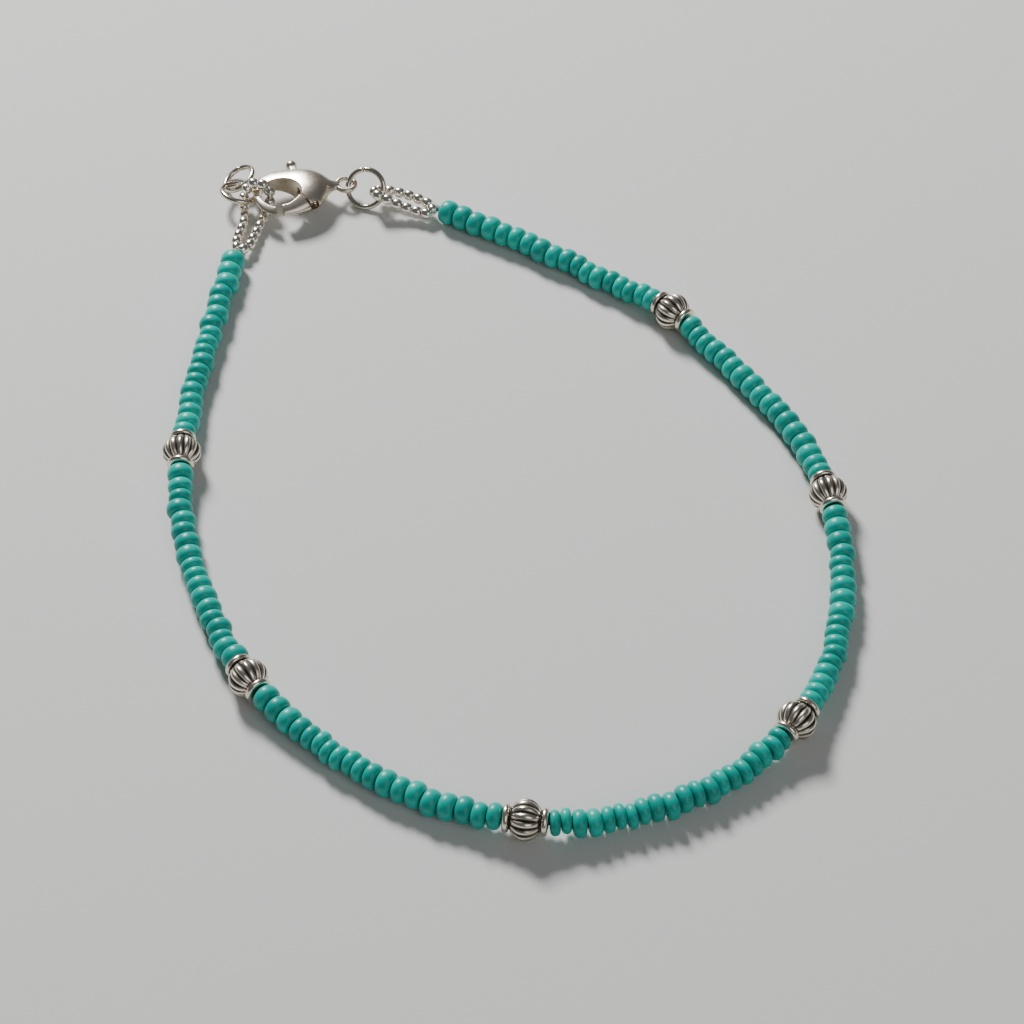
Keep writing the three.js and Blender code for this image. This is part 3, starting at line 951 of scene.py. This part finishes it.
@dataclass
class LobsterClasp:
    """The cast lobster clasp, its lever in the body's slot.

    Its shapes are made in the clasp's own millimetres: u runs from the eye to the nose, w to the
    gate's side and z out of its flat, and are placed on the table last.
    """

    finish: bpy.types.Material
    eye_at: tuple[float, float, float] = (-17.8, 45.03, 1.75)
    heading_deg: float = -164.2
    rise_deg: float = 2.0
    eye_radius: float = 0.97
    eye_wire_radius: float = 0.3
    near_fullness: float = 2.0
    far_fullness: float = 3.0
    opening_centre: tuple[float, float] = (7.25, 0.42)
    opening_half_length: float = 2.32
    opening_half_width: float = 1.98
    opening_tilt_deg: float = -38.0
    pivot: tuple[float, float] = (4.55, 1.5)
    pin_radius: float = 0.28
    pin_half_length: float = 1.08
    pin_hole_radius: float = 0.36
    slot_half_height: float = 0.52
    lever_half_height: float = 0.42
    hub_radius: float = 0.72
    knob_radius: float = 0.62
    knob_at: tuple[float, float] = (5.05, -4.25)
    gate_gap: float = 0.12
    gate_gap_spread: float = 1.4
    gate_half_height: float = 2.0
    cutter_half_height: float = 3.0
    gate_turns_deg: tuple[float, ...] = (0.0, 5.0, 10.0, 15.0, 20.0)
    section_count: int = 80
    section_sides: int = 96
    opening_steps: int = 96
    circle_steps: int = 48
    eye_bends: int = 64
    eye_sides: int = 24
    knob_segments: int = 40
    knob_rings: int = 24
    grain: float = 0.055
    rounding: int = 7
    rounding_share: float = 0.5

    def blank(self) -> bpy.types.Object:
        """Builds the clasp's outer form with no opening."""
        table = Path(np.array(CLASP_SECTIONS))
        around = np.linspace(0, 2 * math.pi, self.section_sides, endpoint=False)
        across, rise = np.cos(around), np.sin(around)
        power = np.where(across > 0, 2 / self.near_fullness, 2 / self.far_fullness)
        rings = []
        for u, near, far, half in table.at(np.linspace(0, table.length, self.section_count)):
            w = (near - far) / 2 + (near + far) / 2 * np.sign(across) * np.abs(across) ** power
            z = half * np.sign(rise) * np.abs(rise) ** power
            rings.append(np.stack([np.full(len(w), u), w, z], axis=1))
        return capped_tube("clasp_blank", np.array(rings), self.finish)

    def plate(self, outline: tuple | np.ndarray, half_height: float) -> bpy.types.Object:
        """Builds a flat plate with an outline in the clasp's plane."""
        flat = np.array(outline)
        levels = [np.column_stack([flat, np.full(len(flat), z)]) for z in (-half_height, half_height)]
        return capped_tube("clasp_plate", np.array(levels), self.finish)

    def round_outline(self, centre: tuple[float, float], radius: float) -> np.ndarray:
        """Gives the outline of a circle."""
        around = np.linspace(0, 2 * math.pi, self.circle_steps, endpoint=False)
        return np.array(centre) + radius * np.column_stack([np.cos(around), np.sin(around)])

    def opening_outline(self) -> np.ndarray:
        """Gives the slanted oval of the hook's opening."""
        around = np.linspace(0, 2 * math.pi, self.opening_steps, endpoint=False)
        tilt = math.radians(self.opening_tilt_deg)
        along = self.opening_half_length * np.cos(around)
        across = self.opening_half_width * np.sin(around)
        u = along * math.cos(tilt) - across * math.sin(tilt)
        w = along * math.sin(tilt) + across * math.cos(tilt)
        return np.column_stack([u, w]) + np.array(self.opening_centre)

    def gate_space(self, turn_deg: float) -> np.ndarray:
        """Gives the gate's outline grown by its gap and turned about the pivot."""
        outline = np.array(GATE_OUTLINE)
        away = outline - outline.mean(axis=0)
        away /= np.linalg.norm(away, axis=1, keepdims=True)
        grown = outline + away * self.gate_gap * self.gate_gap_spread
        angle = -math.radians(turn_deg)
        turn = np.array([[math.cos(angle), -math.sin(angle)], [math.sin(angle), math.cos(angle)]])
        return (grown - self.pivot) @ turn.T + self.pivot

    def eye(self) -> bpy.types.Object:
        """Builds the ring at the clasp's end that a jump ring goes through."""
        bends = np.linspace(0, 2 * math.pi, self.eye_bends, endpoint=False)
        around = np.linspace(0, 2 * math.pi, self.eye_sides, endpoint=False)
        reach = self.eye_radius + self.eye_wire_radius * np.cos(around)
        rise = self.eye_wire_radius * np.sin(around)
        rings = [np.stack([reach * math.cos(b), reach * math.sin(b), rise], axis=1) for b in bends]
        vertices, faces = ring_skin(np.array(rings), wrap=True)
        made = mesh_object("clasp_eye", vertices, faces, self.finish)
        face_outward(made)
        return made

    def knob(self) -> bpy.types.Object:
        """Builds the ball that a thumb pushes."""
        shape = bmesh.new()
        place = Matrix.Translation((*self.knob_at, 0.0))
        bmesh.ops.create_uvsphere(
            shape,
            u_segments=self.knob_segments,
            v_segments=self.knob_rings,
            radius=self.knob_radius,
            matrix=place,
        )
        mesh = bpy.data.meshes.new("clasp_knob")
        shape.to_mesh(mesh)
        shape.free()
        mesh.materials.append(self.finish)
        made = bpy.data.objects.new("clasp_knob", mesh)
        bpy.context.scene.collection.objects.link(made)
        return made

    def joined(self, base: bpy.types.Object, other: bpy.types.Object, operation: str) -> bpy.types.Object:
        """Adds, cuts or intersects two solids.

        Args:
            base: the solid that is changed.
            other: the solid that changes it; both are used up.
            operation: "UNION", "DIFFERENCE" or "INTERSECT".

        Returns:
            The result.
        """
        step = base.modifiers.new("step", "BOOLEAN")
        step.operation = operation
        step.solver = "EXACT"
        step.object = other
        made = make_plain(base, "clasp_step")
        bpy.data.objects.remove(other)
        return made

    def body(self) -> bpy.types.Object:
        """Builds the body: the blank with its opening, slot, room for the gate, eye and pin."""
        opening = self.plate(self.opening_outline(), self.cutter_half_height)
        body = self.joined(self.blank(), opening, "DIFFERENCE")
        for turn in self.gate_turns_deg:
            space = self.plate(self.gate_space(turn), self.cutter_half_height)
            body = self.joined(body, space, "DIFFERENCE")
        body = self.joined(body, self.plate(SLOT_OUTLINE, self.slot_half_height), "DIFFERENCE")
        body = self.joined(body, self.eye(), "UNION")
        pin = self.plate(self.round_outline(self.pivot, self.pin_radius), self.pin_half_length)
        return self.joined(body, pin, "UNION")

    def lever(self) -> bpy.types.Object:
        """Builds the lever: the gate, the tongue on its pivot and the thumb with its knob."""
        gate = self.plate(GATE_OUTLINE, self.gate_half_height)
        lever = self.joined(self.blank(), gate, "INTERSECT")
        hub = self.round_outline(self.pivot, self.hub_radius)
        for outline in (TONGUE_OUTLINE, THUMB_OUTLINE, hub):
            lever = self.joined(lever, self.plate(outline, self.lever_half_height), "UNION")
        lever = self.joined(lever, self.knob(), "UNION")
        hole = self.plate(self.round_outline(self.pivot, self.pin_hole_radius), self.cutter_half_height)
        return self.joined(lever, hole, "DIFFERENCE")

    def frame(self) -> Matrix:
        """Gives the turn and place from the clasp's own axes to the table, in metres."""
        heading, rise = math.radians(self.heading_deg), math.radians(self.rise_deg)
        level = math.cos(rise)
        along = Vector((math.cos(heading) * level, math.sin(heading) * level, math.sin(rise)))
        across = Vector((0, 0, 1)).cross(along).normalized()
        above = along.cross(across)
        turn = Matrix((along, across, above)).transposed().to_4x4()
        place = Matrix.Translation(Vector(self.eye_at) + Vector(SHIFT))
        return Matrix.Scale(MM, 4) @ place @ turn

    def cast(self, solid: bpy.types.Object, node: str, body: Body) -> None:
        """Rounds a solid's edges as tumbling does, places it and lets it stand for its plain node.

        Args:
            solid: the solid in the clasp's own millimetres.
            node: the plain node that it stands for.
            body: the rigid body that it rides on.
        """
        grain = solid.modifiers.new("grain", "REMESH")
        grain.mode = "VOXEL"
        grain.voxel_size = self.grain
        tumbling = solid.modifiers.new("tumbling", "SMOOTH")
        tumbling.factor = self.rounding_share
        tumbling.iterations = self.rounding
        piece = make_plain(solid, f"{node}_cast")
        piece.data.transform(self.frame())
        piece.data.materials.clear()
        piece.data.materials.append(self.finish)
        piece.data.shade_smooth()
        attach(piece, body.value)
        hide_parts(node)
        LOG.info("%s: %d polygons", node, len(piece.data.polygons))

    def dress(self) -> None:
        """Builds the clasp's body and its lever."""
        self.cast(self.body(), "clasp_body", Body.ANKLET)
        self.cast(self.lever(), "clasp_lever", Body.LEVER)


@dataclass
class Studio:
    """The pale floor, the lights and the camera at the photograph's angle."""

    camera_elevation_deg: float = 49.0
    camera_distance: float = 282.7
    focal_pixels: float = 2900.0
    sensor_width: float = 36.0
    nearest: float = 0.01
    floor_colour: str = "d9d9d6"
    floor_roughness: float = 0.8
    floor_reach: float = 2.0
    sky_colour: str = "e4e8ee"
    sky_strength: float = 0.13

    def build(self) -> None:
        """Builds the floor, lights and camera."""
        self.floor()
        self.lights()
        self.camera()

    def floor(self) -> None:
        """Lays a plain pale floor under the anklet."""
        material, _, shader = begin_material("pale_floor_paint")
        shader.inputs["Base Color"].default_value = linear(self.floor_colour)
        shader.inputs["Roughness"].default_value = self.floor_roughness
        reach = self.floor_reach
        corners = np.array([(-reach, -reach, 0), (reach, -reach, 0), (reach, reach, 0), (-reach, reach, 0)])
        mesh_object("floor", corners, [(0, 1, 2, 3)], material)

    def lights(self) -> None:
        """Hangs a soft key light behind and to the left, a weak fill in front and an even sky."""
        world = bpy.data.worlds.new("studio")
        bpy.context.scene.world = world
        world.use_nodes = True
        sky = world.node_tree.nodes["Background"]
        sky.inputs["Color"].default_value = linear(self.sky_colour)
        sky.inputs["Strength"].default_value = self.sky_strength
        for name, place, power, size in LIGHTS:
            light = bpy.data.lights.new(name, "AREA")
            light.energy = power
            light.size = size
            lamp = bpy.data.objects.new(name, light)
            lamp.location = place
            lamp.rotation_euler = (-Vector(place)).to_track_quat("-Z", "Y").to_euler()
            bpy.context.scene.collection.objects.link(lamp)

    def camera(self) -> None:
        """Sets the camera where the photographer's was."""
        elevation = math.radians(self.camera_elevation_deg)
        target = SHIFT * MM
        away = np.array([0.0, -math.cos(elevation), math.sin(elevation)])
        lens = bpy.data.cameras.new("camera")
        lens.sensor_width = self.sensor_width
        lens.lens = self.focal_pixels / PHOTO_SIZE * self.sensor_width
        lens.clip_start = self.nearest
        camera = bpy.data.objects.new("camera", lens)
        camera.location = target + away * self.camera_distance * MM
        camera.rotation_euler = (math.pi / 2 - elevation, 0.0, 0.0)
        bpy.context.scene.collection.objects.link(camera)
        bpy.context.scene.camera = camera


def main() -> None:
    """Builds the anklet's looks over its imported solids."""
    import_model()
    antique = Silver("antiqued_cast_silver", roughness=0.24, tarnish_share=0.95).build()
    bright = Silver("bright_silver_beads", bright="f5eee2", roughness=0.2).build()
    wire = Silver("drawn_silver_wire", bright="dbd0c0", roughness=0.2).build()
    satin = Silver("satin_cast_silver", bright="d7ccbb", roughness=0.3, scratch_mm=0.4).build()
    thread = WaxedThread().build()
    string = TurquoiseString(TurquoiseGlass().build(), thread)
    string.dress()
    SilverBeads(string.path(), antique).dress()
    SmallBeadLoop("bead_loop_left", LOOP_LEFT, 20, bright).dress()
    SmallBeadLoop("bead_loop_right", LOOP_RIGHT, 14, bright).dress()
    for node, centre, mean_radius, lean in RINGS:
        JumpRing(node, centre, mean_radius, lean, wire).dress()
    LobsterClasp(satin).dress()
    Studio().build()


if __name__ == "__main__":
    main()
